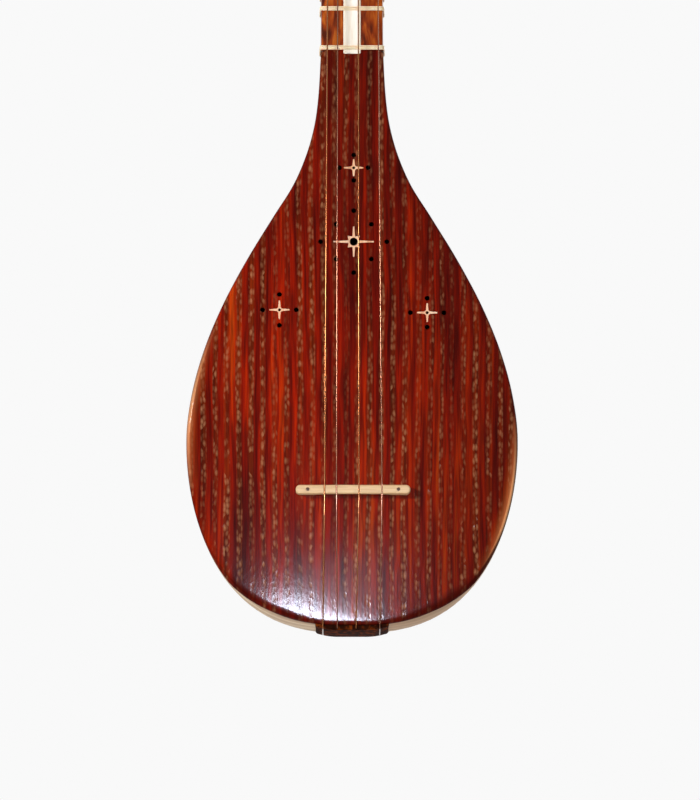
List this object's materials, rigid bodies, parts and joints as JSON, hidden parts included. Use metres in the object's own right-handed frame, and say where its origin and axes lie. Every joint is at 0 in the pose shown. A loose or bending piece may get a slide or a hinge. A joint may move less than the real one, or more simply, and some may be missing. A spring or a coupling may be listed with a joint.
{
  "type": "setar",
  "caption": "Long necked lute with a pear shaped ribbed bowl, pierced soundboard, tied gut frets, strings and turning friction pegs.",
  "frame": {"origin": "on the flat underside of the tailpiece, on the axis at which the bowl's ribs meet", "axes": "+Z along the neck to the head, -Y out of the soundboard, +X to the treble side"},
  "size_m": [0.1618, 0.1604, 0.8463],
  "materials": {
    "soundboard": "red brown stained mulberry, gloss varnish",
    "rib_wood": "natural mulberry, gloss varnish",
    "neck_walnut": "walnut, satin varnish",
    "fingerboard": "figured walnut, varnished",
    "bone": "polished camel bone",
    "star_inlay": "pale wood inlay under varnish",
    "block_wood": "bare wood",
    "bridge_wood": "bare boxwood",
    "tailpiece_wood": "dark walnut, varnished",
    "gut": "tied gut",
    "string_steel": "plain wire",
    "string_bronze": "plain wire",
    "peg_wood": "turned walnut, waxed"
  },
  "bodies": {
    "root": {"neck": "neck_walnut", "fingerboard_bass": "fingerboard", "fingerboard_treble": "fingerboard", "fingerboard_bone_strip": "bone", "nut": "bone", "soundboard": "soundboard", "star_inlay_top": "star_inlay", "star_inlay_middle": "star_inlay", "star_inlay_bass": "star_inlay", "star_inlay_treble": "star_inlay", "bowl_rib_1": "rib_wood", "bowl_rib_2": "rib_wood", "bowl_rib_3": "rib_wood", "bowl_rib_4": "rib_wood", "bowl_rib_5": "rib_wood", "bowl_rib_6": "rib_wood", "bowl_rib_7": "rib_wood", "bowl_rib_8": "rib_wood", "bowl_rib_9": "rib_wood", "bowl_rib_10": "rib_wood", "bowl_rib_11": "rib_wood", "rim_lining": "block_wood", "neck_block": "block_wood", "tail_block": "block_wood", "bridge": "bridge_wood", "tailpiece": "tailpiece_wood", "string_treble": "string_steel", "string_second": "string_bronze", "string_third": "string_steel", "string_bass": "string_bronze"},
    "treble_peg": {"peg_treble": "peg_wood"},
    "second_peg": {"peg_second": "peg_wood"},
    "third_peg": {"peg_third": "peg_wood"},
    "bass_peg": {"peg_bass": "peg_wood"},
    "fret_01": {"fret_01": "gut"},
    "fret_02": {"fret_02": "gut"},
    "fret_03": {"fret_03": "gut"},
    "fret_04": {"fret_04": "gut"},
    "fret_05": {"fret_05": "gut"},
    "fret_06": {"fret_06": "gut"},
    "fret_07": {"fret_07": "gut"},
    "fret_08": {"fret_08": "gut"},
    "fret_09": {"fret_09": "gut"},
    "fret_10": {"fret_10": "gut"},
    "fret_11": {"fret_11": "gut"},
    "fret_12": {"fret_12": "gut"},
    "fret_13": {"fret_13": "gut"},
    "fret_14": {"fret_14": "gut"},
    "fret_15": {"fret_15": "gut"},
    "fret_16": {"fret_16": "gut"},
    "fret_17": {"fret_17": "gut"},
    "fret_18": {"fret_18": "gut"},
    "fret_19": {"fret_19": "gut"},
    "fret_20": {"fret_20": "gut"},
    "fret_21": {"fret_21": "gut"},
    "fret_22": {"fret_22": "gut"},
    "fret_23": {"fret_23": "gut"},
    "fret_24": {"fret_24": "gut"},
    "fret_25": {"fret_25": "gut"},
    "fret_26": {"fret_26": "gut"}
  },
  "joints": [
    {"name": "treble_peg_turn", "type": "hinge", "parent": "root", "child": "treble_peg", "pos_m": [0, 0, 0.8103], "axis": [0, -1, 0], "continuous": true},
    {"name": "second_peg_turn", "type": "hinge", "parent": "root", "child": "second_peg", "pos_m": [0, 0, 0.7683], "axis": [0, -1, 0], "continuous": true},
    {"name": "third_peg_turn", "type": "hinge", "parent": "root", "child": "third_peg", "pos_m": [0, -0.0125, 0.79026], "axis": [-1, 0, 0], "continuous": true},
    {"name": "bass_peg_turn", "type": "hinge", "parent": "root", "child": "bass_peg", "pos_m": [0, -0.0125, 0.7491], "axis": [-1, 0, 0], "continuous": true},
    {"name": "fret_01_slide", "type": "slide", "parent": "root", "child": "fret_01", "axis": [0, 0, 1], "range_m": [-0.002, 0.002]},
    {"name": "fret_02_slide", "type": "slide", "parent": "root", "child": "fret_02", "axis": [0, 0, 1], "range_m": [-0.002, 0.002]},
    {"name": "fret_03_slide", "type": "slide", "parent": "root", "child": "fret_03", "axis": [0, 0, 1], "range_m": [-0.002, 0.002]},
    {"name": "fret_04_slide", "type": "slide", "parent": "root", "child": "fret_04", "axis": [0, 0, 1], "range_m": [-0.002, 0.002]},
    {"name": "fret_05_slide", "type": "slide", "parent": "root", "child": "fret_05", "axis": [0, 0, 1], "range_m": [-0.002, 0.002]},
    {"name": "fret_06_slide", "type": "slide", "parent": "root", "child": "fret_06", "axis": [0, 0, 1], "range_m": [-0.002, 0.002]},
    {"name": "fret_07_slide", "type": "slide", "parent": "root", "child": "fret_07", "axis": [0, 0, 1], "range_m": [-0.002, 0.002]},
    {"name": "fret_08_slide", "type": "slide", "parent": "root", "child": "fret_08", "axis": [0, 0, 1], "range_m": [-0.002, 0.002]},
    {"name": "fret_09_slide", "type": "slide", "parent": "root", "child": "fret_09", "axis": [0, 0, 1], "range_m": [-0.002, 0.002]},
    {"name": "fret_10_slide", "type": "slide", "parent": "root", "child": "fret_10", "axis": [0, 0, 1], "range_m": [-0.002, 0.002]},
    {"name": "fret_11_slide", "type": "slide", "parent": "root", "child": "fret_11", "axis": [0, 0, 1], "range_m": [-0.002, 0.002]},
    {"name": "fret_12_slide", "type": "slide", "parent": "root", "child": "fret_12", "axis": [0, 0, 1], "range_m": [-0.002, 0.002]},
    {"name": "fret_13_slide", "type": "slide", "parent": "root", "child": "fret_13", "axis": [0, 0, 1], "range_m": [-0.002, 0.002]},
    {"name": "fret_14_slide", "type": "slide", "parent": "root", "child": "fret_14", "axis": [0, 0, 1], "range_m": [-0.002, 0.002]},
    {"name": "fret_15_slide", "type": "slide", "parent": "root", "child": "fret_15", "axis": [0, 0, 1], "range_m": [-0.002, 0.002]},
    {"name": "fret_16_slide", "type": "slide", "parent": "root", "child": "fret_16", "axis": [0, 0, 1], "range_m": [-0.002, 0.002]},
    {"name": "fret_17_slide", "type": "slide", "parent": "root", "child": "fret_17", "axis": [0, 0, 1], "range_m": [-0.002, 0.002]},
    {"name": "fret_18_slide", "type": "slide", "parent": "root", "child": "fret_18", "axis": [0, 0, 1], "range_m": [-0.002, 0.002]},
    {"name": "fret_19_slide", "type": "slide", "parent": "root", "child": "fret_19", "axis": [0, 0, 1], "range_m": [-0.002, 0.002]},
    {"name": "fret_20_slide", "type": "slide", "parent": "root", "child": "fret_20", "axis": [0, 0, 1], "range_m": [-0.002, 0.002]},
    {"name": "fret_21_slide", "type": "slide", "parent": "root", "child": "fret_21", "axis": [0, 0, 1], "range_m": [-0.002, 0.002]},
    {"name": "fret_22_slide", "type": "slide", "parent": "root", "child": "fret_22", "axis": [0, 0, 1], "range_m": [-0.002, 0.002]},
    {"name": "fret_23_slide", "type": "slide", "parent": "root", "child": "fret_23", "axis": [0, 0, 1], "range_m": [-0.002, 0.002]},
    {"name": "fret_24_slide", "type": "slide", "parent": "root", "child": "fret_24", "axis": [0, 0, 1], "range_m": [-0.002, 0.002]},
    {"name": "fret_25_slide", "type": "slide", "parent": "root", "child": "fret_25", "axis": [0, 0, 1], "range_m": [-0.002, 0.002]},
    {"name": "fret_26_slide", "type": "slide", "parent": "root", "child": "fret_26", "axis": [0, 0, 1], "range_m": [0, 0.004]}
  ]
}
